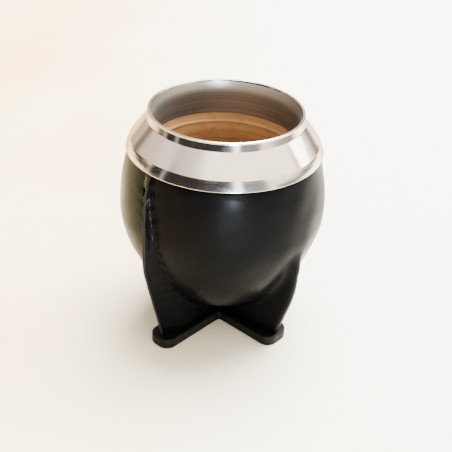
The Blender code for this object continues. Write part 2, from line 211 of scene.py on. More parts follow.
# Sole
SOLE_SHIFT = 0.00186
SOLE_CORNER_RADIUS = 0.0052
SOLE_NOTCH_RADIUS = 0.0015
SOLE_EDGE_ROUND = 0.0007
SOLE_ARC_STEPS = 14
SOLE_EDGE_ROWS = 6
SOLE_HOLD = 0.3
SOLE_SWELLS = ((0.006, 41, 0.00008), (0.0018, 42, 0.00003))
SOLE_FLAT_BELOW = 0.0015
SOLE_TOP_SLACK = 0.0001

# Rows of the sole's flat faces, as shares of the way from its middle to its edge
SOLE_UPPER_SHARES = (0.05, 0.35, 0.7, 0.93)
SOLE_UNDER_SHARES = (0.93, 0.5, 0.05)

# Each leg has its fin's direction in degrees and its sole arm's reach and half width.
# Then come the reach and half width of a fin by height, all from where the arms cross
SEAM_LEG = "seam"
FOLD_LEG = "fold"
LEGS = [
    {"kind": kind, "angle": math.radians(angle), "sole_reach": reach, "sole_half_width": half}
    for kind, angle, reach, half in (
        (SEAM_LEG, 225.0, 0.0424, 0.0065), (FOLD_LEG, 315.0, 0.0374, 0.0075),
        (FOLD_LEG, 45.0, 0.0400, 0.0070), (FOLD_LEG, 135.0, 0.0400, 0.0070))
]
FIN_REACH = {
    SEAM_LEG: [
        (0.0053, 0.0396), (0.0120, 0.0415), (0.0200, 0.0439), (0.0280, 0.0460),
        (0.0360, 0.0482), (0.0460, 0.0503), (0.0540, 0.0505), (0.0660, 0.0499),
        (0.0740, 0.0477), (0.0800, 0.0457), (0.0850, 0.0433), (0.0880, 0.0405),
        (0.0903, 0.0370),
    ],
    FOLD_LEG: [
        (0.0053, 0.0360), (0.0120, 0.0381), (0.0200, 0.0407), (0.0280, 0.0426),
        (0.0380, 0.0439), (0.0440, 0.0440), (0.0500, 0.0415), (0.0560, 0.0375),
        (0.0650, 0.0310), (0.0903, 0.0180),
    ],
}
FIN_ROOT_HALF_WIDTH = {
    SEAM_LEG: [
        (0.0053, 0.0037), (0.0200, 0.0036), (0.0340, 0.0030), (0.0460, 0.0022),
        (0.0560, 0.0014), (0.0903, 0.0012),
    ],
    FOLD_LEG: [(0.0053, 0.0038), (0.0200, 0.0036), (0.0380, 0.0031), (0.0903, 0.0024)],
}
FIN_EDGE_HALF_WIDTH = {SEAM_LEG: 0.0012, FOLD_LEG: 0.0023}
FIN_TAPER = 0.0120

# Camera, matched to the photograph: a frame 452 pixels wide
FRAME_PIXELS = 452
FOCAL_PIXELS = 850.0
SENSOR_WIDTH_MM = 36.0
CAMERA_AZIMUTH = math.radians(-3.8)
CAMERA_ELEVATION = math.radians(23.84)
CAMERA_DISTANCE = 0.3671
AIM_HEIGHT = 0.0459
AIM_SIDE = 0.0024
CAMERA_ROLL = math.radians(3.09)
CLIP_START = 0.01

# Table top: half its width, and how far it reaches in front of the cup
FLOOR_HALF_SIDE = 3.0
FLOOR_FRONT = 0.55

# Lights: name, azimuth to the right of the camera's and elevation in degrees, distance,
# size, power and colour
LIGHTS = (
    ("window", 113.0, 27.0, 1.15, (0.46, 0.40), 6.0, (1.0, 0.98, 0.95)),
    ("ceiling", 150.0, 66.0, 1.70, (1.30, 1.30), 245.0, (1.0, 0.97, 0.91)),
)

# The room: its own brightness, then lighter and darker places laid over it in turn, each
# with its first and last azimuth in degrees, the sine of its top's elevation, the
# softness of its sides in radians, and its brightness
ROOM_TOP_SOFTNESS = 0.08
ROOM_COLOR = (1.8, 1.65, 1.45)
ROOM_PATCHES = (
    (-200.0, 200.0, 0.95, 0.10, (4.4, 3.9, 3.15)),
    (118.0, 200.0, 1.10, 0.15, (1.20, 1.10, 0.95)),
    (-200.0, -130.0, 1.10, 0.15, (1.20, 1.10, 0.95)),
    (-130.0, -32.0, 0.97, 0.25, (1.90, 1.72, 1.50)),
    (-200.0, 200.0, 0.36, 0.12, (3.30, 2.85, 2.30)),
    (-200.0, -95.0, 0.60, 0.10, (1.60, 1.30, 1.05)),
    (-129.0, -119.0, 0.80, 0.03, (0.50, 0.34, 0.26)),
    (-120.0, -90.0, 0.20, 0.08, (0.14, 0.11, 0.10)),
    (97.0, 100.0, 0.80, 0.02, (0.80, 0.66, 0.54)),
    (60.0, 150.0, 0.12, 0.10, (0.55, 0.53, 0.50)),
    (18.0, 50.0, 0.52, 0.10, (0.50, 0.52, 0.53)),
    (-90.0, -70.0, 0.42, 0.06, (0.04, 0.04, 0.045)),
    (-70.0, 12.0, 0.60, 0.08, (0.04, 0.04, 0.045)),
    (13.0, 20.0, 0.60, 0.03, (4.5, 5.0, 5.6)),
    (8.0, 17.0, 0.04, 0.06, (270.0, 310.0, 355.0)),
)

# Second tones that the patterns mix in
# Darker aluminium deep in the sleeve: painted shade for the dark interior that it mirrors
SLEEVE_SHADE_BAND = "#78746F"
# Paler crest of the calabash's raised rings: a painted highlight
RING_HIGHLIGHT = "#BE9058"
WORN_BLACK = "#030304"
# Darker tone along the thread's twist: painted shade between the plies
THREAD_PLY_SHADE = "#060505"

# Aluminium mirrors less and warmer where it is seen edge on
METAL_EDGE_TINT = (0.42, 0.36, 0.29, 1.0)


def hex_color(text):
    """Turn an sRGB hex value into linear red, green and blue."""
    parts = [int(text[i:i + 2], 16) / 255.0 for i in (1, 3, 5)]
    return tuple(c / 12.92 if c <= 0.04045 else ((c + 0.055) / 1.055) ** 2.4 for c in parts)


def length_property(name, description, default):
    """A size in metres, shown in the scene's own unit."""
    return bpy.props.FloatProperty(name=name, description=description, default=default,
                                   unit="LENGTH")


def color_property(name, description, value):
    """A colour that starts as an sRGB hex value."""
    return bpy.props.FloatVectorProperty(name=name, description=description, size=3,
                                         default=hex_color(value), subtype="COLOR")


class MateCupSizes(bpy.types.PropertyGroup):
    """Sizes that a user would change."""

    cup_height: length_property("Cup height", "From the table to the top of the lip", RIM_TOP)
    body_radius: length_property("Body radius", "Radius of the leather at the waist", 0.0461)
    waist_height: length_property(
        "Waist height", "Height of the widest place of the body", 0.0590)
    sole_thickness: length_property("Sole thickness", "Height of the sole's upper face", SOLE_TOP)
    unevenness: length_property(
        "Leather unevenness", "How far the leather swells and dips", 0.00022)
    rim_waviness: length_property(
        "Rim waviness", "How far the polished metal strays from round", 0.00003)


class MateCupColors(bpy.types.PropertyGroup):
    """Colours that a user would change."""

    metal: color_property("Metal", "Polished aluminium", "#EAE4DB")
    metal_dull: color_property("Dull metal", "Aluminium where the polish is worn", "#D2CAC0")
    # Darker aluminium deep in the sleeve, a painted shade for the dark interior that it mirrors
    metal_shaded: color_property("Metal with painted shade", "Aluminium deep in the sleeve, painted darker as shade", "#9A9CA0")
    calabash_light: color_property("Calabash", "Dry calabash wall near the mouth", "#B0875A")
    # The darker calabash colour serves both the wall's stains and the painted shade further down the
    # hollow
    calabash_stain_and_shade: color_property("Stained and shaded calabash", "Wall further down, stained and painted darker as shade", "#5E3B20")
    leather: color_property("Leather", "Black dyed cover leather", "#050607")
    cut_edge: color_property("Cut edge", "Edge of the leather where it was cut", "#282623")
    sole: color_property("Sole", "Blue-black sole leather", "#050607")
    thread: color_property("Thread", "Waxed sewing thread", "#0C0B0A")
    floor: color_property("Floor", "Pale floor to the right", "#F6F3EA")
    floor_warm: color_property("Warm floor", "Pale floor to the left", "#F1C79A")
    floor_cream: color_property("Cream floor", "Yellower patches of the floor", "#F4E7B2")


def smooth_step(value, low, high):
    """Go from 0 at low to 1 at high with level ends: 3t^2 - 2t^3."""
    t = np.clip((value - low) / (high - low), 0.0, 1.0)
    return t * t * (3.0 - 2.0 * t)


def smooth_curve(stations, heights):
    """Cubic Hermite curve through (height, value) stations, slopes from neighbours."""
    known = np.array(stations)
    z, v = known[:, 0], known[:, 1]
    slopes = np.gradient(v, z)
    index = np.clip(np.searchsorted(z, heights) - 1, 0, len(z) - 2)
    span = z[index + 1] - z[index]
    t = np.clip((heights - z[index]) / span, 0.0, 1.0)
    start = (2 * t**3 - 3 * t**2 + 1) * v[index] + (t**3 - 2 * t**2 + t) * span * slopes[index]
    end = (3 * t**2 - 2 * t**3) * v[index + 1] + (t**3 - t**2) * span * slopes[index + 1]
    return start + end


def smooth_union(a, b, width):
    """The nearer of two distances less (1 - |a - b| / width)^2 width / 4, a fillet."""
    overlap = np.clip(1.0 - np.abs(a - b) / width, 0.0, 1.0)
    return np.minimum(a, b) - overlap**2 * width / 4.0


def swells(points, wavelength, seed):
    """Soft noise: a sum of n sines in random directions and phases, over root n."""
    rng = np.random.default_rng(seed)
    directions = rng.normal(size=(SWELL_WAVES, 3))
    directions /= np.linalg.norm(directions, axis=1, keepdims=True)
    rates = math.tau / (wavelength * rng.uniform(*SWELL_SPREAD, SWELL_WAVES))
    phases = rng.uniform(0.0, math.tau, SWELL_WAVES)
    total = np.zeros(points.shape[:-1])
    for direction, rate, phase in zip(directions, rates, phases):
        total += np.sin(points @ direction * rate + phase)
    return total / math.sqrt(SWELL_WAVES)


def layered_swells(points, layers):
    """Sum of swells, one for each layer of wavelength, seed and height."""
    return sum(height * swells(points, wavelength, seed)
               for wavelength, seed, height in layers)


def grid_quads(rows, columns, closed_rows):
    """Quads of a grid of rings, where closed_rows joins the last ring to the first."""
    row = np.arange(rows if closed_rows else rows - 1)[:, None]
    column = np.arange(columns)[None, :]
    below = (row + 1) % rows
    beside = (column + 1) % columns
    corners = [row * columns + column, below * columns + column,
               below * columns + beside, row * columns + beside]
    return np.stack(np.broadcast_arrays(*corners), axis=2).reshape(-1, 4)


def grid_normals(points):
    """Outward unit normals of a grid: slope along the rows crossed with the columns."""
    down = np.gradient(points, axis=0)
    round_ = (np.roll(points, -1, axis=1) - np.roll(points, 1, axis=1)) / 2.0
    normals = np.cross(down, round_)
    length = np.linalg.norm(normals, axis=2, keepdims=True)
    return normals / np.maximum(length, 1e-12)


def mesh_piece(name, vertices, faces, material, values=None):
    """Make a smooth mesh piece, with a float attribute for each entry of values."""
    mesh = bpy.data.meshes.new(name)
    mesh.from_pydata(vertices.tolist(), [], faces)
    mesh.update()
    for key, numbers in (values or {}).items():
        attribute = mesh.attributes.new(key, "FLOAT", "POINT")
        attribute.data.foreach_set("value", np.ascontiguousarray(numbers, dtype=np.float32))
    mesh.shade_smooth()
    mesh.materials.append(material)
    piece = bpy.data.objects.new(name, mesh)
    bpy.context.scene.collection.objects.link(piece)
    return piece


def closed_grid_piece(name, points, material, values=None):
    """Make a piece from a grid that starts and ends on the axis, closed by fans.

    The first and the last row are rings, and a vertex at the mean of each closes it.
    """
    rows, columns = points.shape[:2]
    quads = grid_quads(rows, columns, False).tolist()
    flat = points.reshape(-1, 3)
    ends = np.array([points[0].mean(axis=0), points[-1].mean(axis=0)])
    first = len(flat)
    ring = np.arange(columns)
    turned = (ring + 1) % columns
    last = (rows - 1) * columns
    start_fan = np.stack([np.full(columns, first), ring, turned], axis=1)
    end_fan = np.stack([last + turned, last + ring, np.full(columns, first + 1)], axis=1)
    faces = quads + start_fan.tolist() + end_fan.tolist()
    padded = {}
    for key, numbers in (values or {}).items():
        ends_value = [numbers[0].mean(), numbers[-1].mean()]
        padded[key] = np.concatenate([numbers.ravel(), ends_value])
    return mesh_piece(name, np.concatenate([flat, ends]), faces, material, padded)


def turned_grid(profile, segments):
    """Turn a profile of (radius, height) about Z: (r cos t, r sin t, z)."""
    angles = np.linspace(0.0, math.tau, segments, endpoint=False)
    radius = profile[:, 0:1]
    x = radius * np.cos(angles)
    y = radius * np.sin(angles)
    z = np.broadcast_to(profile[:, 1:2], x.shape)
    return np.stack([x, y, z], axis=2)


def rounded_outline(corners, steps, hold):
    """Closed outline with each corner replaced by an arc tangent to both its sides.

    A corner is (x, y, fillet radius). Two points a little outside each arc hold the
    straight sides flat under smooth shading.
    """
    points = np.array([c[:2] for c in corners])
    fillets = np.array([c[2] for c in corners])
    outline = []
    for i, (corner, fillet) in enumerate(zip(points, fillets)):
        back = points[i - 1] - corner
        ahead = points[(i + 1) % len(points)] - corner
        back_length, ahead_length = np.linalg.norm(back), np.linalg.norm(ahead)
        back, ahead = back / back_length, ahead / ahead_length
        half = math.acos(np.clip(back @ ahead, -1.0, 1.0)) / 2.0
        reach = fillet / max(math.tan(half), 1e-6)
        reach = min(reach, FILLET_SHARE * back_length, FILLET_SHARE * ahead_length)
        fillet = reach * math.tan(half)
        middle = back + ahead
        if np.linalg.norm(middle) < 1e-6:
            outline.append(corner)
            continue
        center = corner + middle / np.linalg.norm(middle) * fillet / math.sin(half)
        start = corner + back * reach - center
        end = corner + ahead * reach - center
        turn = math.atan2(start[0] * end[1] - start[1] * end[0], start @ end)
        outline.append(corner + back * (reach + min(hold, HOLD_SHARE * back_length)))
        for share in np.linspace(0.0, 1.0, steps):
            cos, sin = math.cos(turn * share), math.sin(turn * share)
            outline.append(center + (start[0] * cos - start[1] * sin,
                                     start[0] * sin + start[1] * cos))
        outline.append(corner + ahead * (reach + min(hold, HOLD_SHARE * ahead_length)))
    return np.array(outline)


def egg_radius(heights, inset):
    """Radius of the body: R (1 - (rise / semi axis)^n)^(1/n), moved in by inset."""
    sizes = bpy.context.scene.mate_cup_sizes
    rise = np.asarray(heights, dtype=float) - sizes.waist_height
    upper = np.clip(rise, 0.0, None) / (BODY_TOP_SEMI_AXIS - inset)
    lower = np.clip(-rise, 0.0, None) / (BODY_BOTTOM_SEMI_AXIS - inset)
    top = np.clip(1.0 - upper**BODY_TOP_EXPONENT, 0.0, 1.0) ** (1.0 / BODY_TOP_EXPONENT)
    bottom = np.clip(1.0 - lower**BODY_BOTTOM_EXPONENT, 0.0, 1.0)
    bottom = bottom ** (1.0 / BODY_BOTTOM_EXPONENT)
    return (sizes.body_radius - inset) * np.where(rise > 0.0, top, bottom)


def egg_distance(radius, heights):
    """Distance from the body's surface: (size - 1) / slope of its superellipse."""
    sizes = bpy.context.scene.mate_cup_sizes
    rise = heights - sizes.waist_height
    above = rise > 0.0
    semi_axis = np.where(above, BODY_TOP_SEMI_AXIS, BODY_BOTTOM_SEMI_AXIS)
    power = np.where(above, BODY_TOP_EXPONENT, BODY_BOTTOM_EXPONENT)
    level = np.maximum(radius / sizes.body_radius, LEAST_SHARE)
    steep = np.maximum(np.abs(rise) / semi_axis, LEAST_SHARE)
    size = (level**power + steep**power) ** (1.0 / power)
    slope = np.hypot((level / size) ** (power - 1.0) / sizes.body_radius,
                     (steep / size) ** (power - 1.0) / semi_axis)
    return (size - 1.0) / slope


def sole_center():
    """Where the arms of the sole and the planes of the fins cross."""
    angle = LEGS[1]["angle"]
    return np.array([math.cos(angle), math.sin(angle)]) * SOLE_SHIFT


def seam_twist(heights):
    """Angle by which the seam leans to one side as it climbs to the rim."""
    return SEAM_TWIST * smooth_step(heights, SEAM_TWIST_START, SEAM_TWIST_END)


def fin_direction(leg, heights):
    """Direction of a leg's fin at each height."""
    if leg["kind"] == SEAM_LEG:
        return leg["angle"] + seam_twist(heights)
    return leg["angle"]


def leg_coordinates(px, py, heights, leg):
    """Distance along and across a fin, from where the fins cross."""
    direction = fin_direction(leg, heights)
    cx, cy = sole_center()
    along = (px - cx) * np.cos(direction) + (py - cy) * np.sin(direction)
    across = (py - cy) * np.cos(direction) - (px - cx) * np.sin(direction)
    return along, across


def fin_distance(px, py, heights, leg):
    """Distance from a fin, a bar with a rounded end that thins towards its edge."""
    reach = smooth_curve(FIN_REACH[leg["kind"]], heights)
    root = smooth_curve(FIN_ROOT_HALF_WIDTH[leg["kind"]], heights)
    edge = np.minimum(FIN_EDGE_HALF_WIDTH[leg["kind"]], root)
    along, across = leg_coordinates(px, py, heights, leg)
    half_width = root + (edge - root) * smooth_step(along, reach - FIN_TAPER, reach)
    corner = FIN_CORNER_SHARE * half_width
    past_end = np.abs(along - (reach - root) / 2.0) - (reach + root) / 2.0 + corner
    past_side = np.abs(across) - half_width + corner
    outside = np.hypot(np.maximum(past_end, 0.0), np.maximum(past_side, 0.0))
    return outside + np.minimum(np.maximum(past_end, past_side), 0.0) - corner


def leather_distance(px, py, heights):
    """Distance from the cover: the egg, with the four fins blended in by fillets."""
    tuck = LEATHER_TUCK * smooth_step(heights, LEATHER_TUCK_HEIGHT, LEATHER_TOP_HEIGHT)
    distance = egg_distance(np.hypot(px, py) + tuck, heights)
    wide = smooth_step(heights, FIN_FILLET_START, FIN_FILLET_END)
    thin = smooth_step(heights, SEAM_FILLET_START, SEAM_FILLET_END)
    for leg in LEGS:
        fillet = FOOT_FILLET + (FIN_FILLET - FOOT_FILLET) * wide
        if leg["kind"] == SEAM_LEG:
            fillet = fillet + (SEAM_FILLET - FIN_FILLET) * thin
        distance = smooth_union(distance, fin_distance(px, py, heights, leg), fillet)
    return distance


def halve_to_surface(inside_test, low, high):
    """Find by halving where a test that holds at low stops to hold on the way to high."""
    for _ in range(HALVINGS):
        middle = (low + high) / 2.0
        inside = inside_test(middle)
        low = np.where(inside, middle, low)
        high = np.where(inside, high, middle)
    return low


def leather_radius(angles, heights):
    """Outer radius of the leather along each direction from the axis."""
    cos, sin = np.cos(angles), np.sin(angles)

    def inside(radius):
        """Tell which places at these radii lie in the leather."""
        return leather_distance(radius * cos, radius * sin, heights) < 0.0

    return halve_to_surface(inside, np.zeros_like(angles), np.full_like(angles, SEARCH_RADIUS))


def column_angles(count):
    """Directions round the cup, crowded at the fins and most of all at the seam.

    They are equal shares of a density: 1 + peak / (1 + (angle / width)^2) at each fin.
    """
    fine = np.linspace(0.0, math.tau, ANGLE_SAMPLES)
    density = np.ones_like(fine)
    center = sole_center()
    for leg in LEGS:
        way = np.array([math.cos(leg["angle"]), math.sin(leg["angle"])])
        tip = center + FIN_TIP_REACH * way
        away = np.angle(np.exp(1j * (fine - math.atan2(tip[1], tip[0]))))
        peaks = [FIN_PEAK, SEAM_PEAK] if leg["kind"] == SEAM_LEG else [FIN_PEAK]
        for peak, width in peaks:
            density += peak / (1.0 + (away / width) ** 2)
    total = np.concatenate([[0.0], np.cumsum((density[1:] + density[:-1]) / 2.0)])
    share = np.linspace(0.0, total[-1], count + 1)[:-1]
    return np.interp(share, total, fine)


def cover_heights():
    """Heights of the outer rows, from the top down: top - share^1.25 (top - bottom)."""
    curve = np.linspace(0.0, 1.0, COVER_ROWS) ** ROW_POWER
    return LEATHER_TOP_HEIGHT + (COVER_BOTTOM - LEATHER_TOP_HEIGHT) * curve


def connect(tree, node, links):
    """Link each socket to the node's input of that name."""
    for key, socket in links.items():
        tree.links.new(socket, node.inputs[key])


def add_node(tree, kind, values=None, links=None, out="Result", **settings):
    """Add a shader node with its settings, values and links, and give one output."""
    node = tree.nodes.new(kind)
    for key, value in settings.items():
        setattr(node, key, value)
    for key, value in (values or {}).items():
        node.inputs[key].default_value = value
    connect(tree, node, links or {})
    return node.outputs[out]


def new_material(name):
    """Make a material, and give it with its tree, its shader and Object coordinates."""
    material = bpy.data.materials.new(name)
    material.use_nodes = True
    tree = material.node_tree
    place = add_node(tree, "ShaderNodeTexCoord", out="Object")
    return material, tree, tree.nodes["Principled BSDF"], place


def rgba(color):
    """A colour property as red, green, blue and full alpha."""
    return (*color, 1.0)


def metal_material():
    """Spun aluminium, turned on a lathe: polished outside, satin rings in the sleeve, and painted
    shade that darkens the sleeve further in.

    Polishing leaves a bright mirror with soft smears, and the tool leaves fine rings.
    """
    colors = bpy.context.scene.mate_cup_colors
    material, tree, shader, place = new_material("spun aluminium, polished")
    level = add_node(tree, "ShaderNodeSeparateXYZ", links={"Vector": place}, out="Z")
    rings_at = add_node(tree, "ShaderNodeCombineXYZ", links={"Z": level}, out="Vector")
    satin = add_node(tree, "ShaderNodeAttribute", attribute_name="satin", out="Fac")
    # Tool marks are about 0.05 mm apart; 0.5 mm is the finest that the render shows
    rings = add_node(tree, "ShaderNodeTexNoise", {"Scale": 2000.0, "Detail": 2.0},
                     {"Vector": rings_at}, out="Fac")
    # Smears of the polishing wheel are about 7 mm across
    smears = add_node(tree, "ShaderNodeTexNoise", {"Scale": 140.0, "Detail": 4.0},
                      {"Vector": place}, out="Fac")
    polish = add_node(tree, "ShaderNodeMapRange",
                      {"From Min": 0.3, "From Max": 0.7, "To Min": 0.09, "To Max": 0.17},
                      {"Value": smears})
    rough = add_node(tree, "ShaderNodeMix", {"B": 0.50}, {"Factor": satin, "A": polish},
                     data_type="FLOAT")
    bright = add_node(tree, "ShaderNodeMix",
                      {"A": rgba(colors.metal), "B": rgba(colors.metal_dull)}, {"Factor": smears},
                      data_type="RGBA")
    # Broader turned bands, about 1.5 mm apart, hold more or less of the painted shade deep in the
    # sleeve
    bands = add_node(tree, "ShaderNodeTexNoise", {"Scale": 650.0, "Detail": 3.0},
                     {"Vector": rings_at}, out="Fac")
    band = add_node(tree, "ShaderNodeMapRange", {"From Min": 0.25, "From Max": 0.75},
                    {"Value": bands})
    sleeve_shade = add_node(tree, "ShaderNodeMix",
                       {"A": rgba(colors.metal_shaded), "B": rgba(hex_color(SLEEVE_SHADE_BAND))},
                       {"Factor": band}, data_type="RGBA")
    # Deeper in the sleeve the tone goes to the darker metal: painted shade for the dark interior that
    # it mirrors
    deep = add_node(tree, "ShaderNodeMapRange", {"From Min": SATIN_AT_LIP}, {"Value": satin})
    tone = add_node(tree, "ShaderNodeMix", links={"Factor": deep, "A": bright, "B": sleeve_shade},
                    data_type="RGBA")
    depth = add_node(tree, "ShaderNodeMapRange", {"To Min": 0.05, "To Max": 0.35},
                     {"Value": satin})
    bump = add_node(tree, "ShaderNodeBump", {"Distance": 0.00004},
                    {"Strength": depth, "Height": rings}, out="Normal")
    shader.inputs["Metallic"].default_value = 1.0
    shader.inputs["Specular Tint"].default_value = METAL_EDGE_TINT
    connect(tree, shader, {"Base Color": tone, "Roughness": rough, "Normal": bump})
    return material


def calabash_material():
    """Cured calabash, scraped inside: a dry woody wall with rings and darker stains, painted shade
    that darkens it further down, and a painted highlight on its raised rings.
    """
    colors = bpy.context.scene.mate_cup_colors
    material, tree, shader, place = new_material("calabash, scraped and cured")
    level = add_node(tree, "ShaderNodeSeparateXYZ", links={"Vector": place}, out="Z")
    flat = add_node(tree, "ShaderNodeMapping", {"Scale": (0.05, 0.05, 1.0)}, {"Vector": place},
                    out="Vector")
    # Scraper marks run round the wall, about 1 mm apart
    marks = add_node(tree, "ShaderNodeTexNoise", {"Scale": 900.0, "Detail": 3.0},
                     {"Vector": flat}, out="Fac")
    # Stained fibre bundles are about 4 mm across
    fibres = add_node(tree, "ShaderNodeTexNoise", {"Scale": 260.0, "Detail": 6.0},
                      {"Vector": place}, out="Fac")
    # Painted shade: the wall darkens further down into the hollow
    down = add_node(tree, "ShaderNodeMapRange",
                    {"From Min": 0.084, "From Max": 0.062, "To Min": 0.0, "To Max": 0.85},
                    {"Value": level})
    streak = add_node(tree, "ShaderNodeMath", {1: 0.9, 2: -0.42}, {0: marks},
                      operation="MULTIPLY_ADD", out="Value")
    specks = add_node(tree, "ShaderNodeMapRange",
                      {"From Min": 0.55, "From Max": 0.70, "To Min": 0.0, "To Max": 0.22},
                      {"Value": fibres})
    marked = add_node(tree, "ShaderNodeMath", links={0: streak, 1: specks}, operation="ADD",
                      out="Value")
    # The stains of scraper marks and fibres, added to the painted shade further down
    stain_and_shade = add_node(tree, "ShaderNodeMath", links={0: down, 1: marked}, operation="ADD",
                     use_clamp=True, out="Value")
    tone = add_node(tree, "ShaderNodeMix",
                    {"A": rgba(colors.calabash_light), "B": rgba(colors.calabash_stain_and_shade)},
                    {"Factor": stain_and_shade}, data_type="RGBA")
    ring = add_node(tree, "ShaderNodeAttribute", attribute_name="ridge_highlight", out="Fac")
    # Painted highlight: the raised rings are lighter where their crests catch the light
    lit = add_node(tree, "ShaderNodeMix", {"B": rgba(hex_color(RING_HIGHLIGHT))},
                   {"Factor": ring, "A": tone}, data_type="RGBA")
    height = add_node(tree, "ShaderNodeMath", links={0: marks, 1: fibres}, operation="ADD",
                      out="Value")
    bump = add_node(tree, "ShaderNodeBump", {"Strength": 0.5, "Distance": 0.0002},
                    {"Height": height}, out="Normal")
    shader.inputs["Roughness"].default_value = 0.62
    connect(tree, shader, {"Base Color": lit, "Normal": bump})
    return material


def leather_material():
    """Vegetable tanned cowhide, dyed black and waxed: smooth, with fine closed pores.

    The wax gives broad soft highlights, and the cut edges stay browner and dull.
    """
    colors = bpy.context.scene.mate_cup_colors
    material, tree, shader, place = new_material("cowhide, dyed black and waxed")
    # Hide grain is about 0.4 mm; the cells are drawn at 0.7 mm so that they show
    grain = add_node(tree, "ShaderNodeTexVoronoi", {"Scale": 1400.0, "Randomness": 1.0},
                     {"Vector": place}, feature="SMOOTH_F1", out="Distance")
    # Pores are drawn 1.4 mm apart, and places rubbed in use are about 13 mm across
    pores = add_node(tree, "ShaderNodeTexNoise", {"Scale": 700.0, "Detail": 5.0},
                     {"Vector": place}, out="Fac")
    rubs = add_node(tree, "ShaderNodeTexNoise", {"Scale": 75.0, "Detail": 5.0}, {"Vector": place},
                    out="Fac")
    wear = add_node(tree, "ShaderNodeMapRange",
                    {"From Min": 0.3, "From Max": 0.7, "To Min": 0.24, "To Max": 0.38},
                    {"Value": rubs})
    cut = add_node(tree, "ShaderNodeAttribute", attribute_name="cut_edge", out="Fac")
    shade = add_node(tree, "ShaderNodeMix",
                     {"A": rgba(colors.leather), "B": rgba(hex_color(WORN_BLACK))},
                     {"Factor": rubs}, data_type="RGBA")
    tone = add_node(tree, "ShaderNodeMix", {"B": rgba(colors.cut_edge)},
                    {"Factor": cut, "A": shade}, data_type="RGBA")
    rough = add_node(tree, "ShaderNodeMix", {"B": 0.7}, {"Factor": cut, "A": wear},
                     data_type="FLOAT")
    relief = add_node(tree, "ShaderNodeMath", {1: 0.6}, {0: grain, 2: pores},
                      operation="MULTIPLY_ADD", out="Value")
    bump = add_node(tree, "ShaderNodeBump", {"Strength": 0.30, "Distance": 0.00010},
                    {"Height": relief}, out="Normal")
    # Matched to the object: the dull wax mirrors far less than its usual IOR of 1.45
    shader.inputs["IOR"].default_value = 1.10
    connect(tree, shader, {"Base Color": tone, "Roughness": rough, "Normal": bump})
    return material


def sole_material():
    """Thick bend leather, dyed blue-black, its edges burnished and a little glossy."""
    colors = bpy.context.scene.mate_cup_colors
    material, tree, shader, place = new_material("sole bend, dyed and burnished")
    layers = add_node(tree, "ShaderNodeMapping", {"Scale": (1.0, 1.0, 5.0)}, {"Vector": place},
                      out="Vector")
    # Fibre bundles are about 2.4 mm long and lie in layers half a millimetre thick
    fibre = add_node(tree, "ShaderNodeTexNoise", {"Scale": 420.0, "Detail": 5.0},
                     {"Vector": layers}, out="Fac")
    tone = add_node(tree, "ShaderNodeMix",
                    {"A": rgba(colors.sole), "B": rgba(hex_color(WORN_BLACK))}, {"Factor": fibre},
                    data_type="RGBA")
    rough = add_node(tree, "ShaderNodeMapRange", {"To Min": 0.34, "To Max": 0.62},
                     {"Value": fibre})
    bump = add_node(tree, "ShaderNodeBump", {"Strength": 0.5, "Distance": 0.00015},
                    {"Height": fibre}, out="Normal")
    # Burnished but unwaxed: its open fibres mirror little
    shader.inputs["Specular IOR Level"].default_value = 0.12
    connect(tree, shader, {"Base Color": tone, "Roughness": rough, "Normal": bump})
    return material


def thread_material():
    """Waxed linen thread: two plies twisted together, about 0.8 mm to a turn, with painted shade
    along the twist.
    """
    colors = bpy.context.scene.mate_cup_colors
    material, tree, shader, place = new_material("linen thread, waxed")
    twist = add_node(tree, "ShaderNodeTexWave", {"Scale": 400.0, "Distortion": 0.6},
                     {"Vector": place}, bands_direction="DIAGONAL", out="Fac")
    # Painted shade: a darker tone along the twist stands for shade between the plies
    tone = add_node(tree, "ShaderNodeMix",
                    {"A": rgba(colors.thread), "B": rgba(hex_color(THREAD_PLY_SHADE))},
                    {"Factor": twist}, data_type="RGBA")
    bump = add_node(tree, "ShaderNodeBump", {"Strength": 0.6, "Distance": 0.0001},
                    {"Height": twist}, out="Normal")
    shader.inputs["Roughness"].default_value = 0.5
    # Matched to the object, as the leather's wax is
    shader.inputs["IOR"].default_value = 1.085
    connect(tree, shader, {"Base Color": tone, "Normal": bump})
    return material


def floor_material():
    """A matt board: whiter to the right and warmer to the left, with creamier patches."""
    colors = bpy.context.scene.mate_cup_colors
    material, tree, shader, place = new_material("board, painted matt")
    across = add_node(tree, "ShaderNodeSeparateXYZ", links={"Vector": place}, out="X")
    side = add_node(tree, "ShaderNodeMapRange", {"From Min": -0.16, "From Max": 0.10},
                    {"Value": across}, interpolation_type="SMOOTHSTEP")
    # Creamier patches are about 200 mm across
    clouds = add_node(tree, "ShaderNodeTexNoise", {"Scale": 5.0, "Detail": 1.0},
                      {"Vector": place}, out="Fac")
    patch = add_node(tree, "ShaderNodeMapRange", {"From Min": 0.36, "From Max": 0.64},
                     {"Value": clouds}, interpolation_type="SMOOTHSTEP")
    left = add_node(tree, "ShaderNodeMix",
                    {"A": rgba(colors.floor_warm), "B": rgba(colors.floor_cream)},
                    {"Factor": patch}, data_type="RGBA")
    tone = add_node(tree, "ShaderNodeMix", {"B": rgba(colors.floor)}, {"Factor": side, "A": left},
                    data_type="RGBA")
    shader.inputs["Roughness"].default_value = 0.75
    connect(tree, shader, {"Base Color": tone})
    return material


def place_piece(piece, node=None):
    """Tie a piece to the cup's one body, and hide the CAD node that it replaces."""
    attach(piece, "root")
    if node:
        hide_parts(node)


def camera_direction(azimuth, elevation):
    """Unit vector from the cup towards a place at this azimuth and elevation."""
    return Vector((math.sin(azimuth) * math.cos(elevation),
                   -math.cos(azimuth) * math.cos(elevation), math.sin(elevation)))


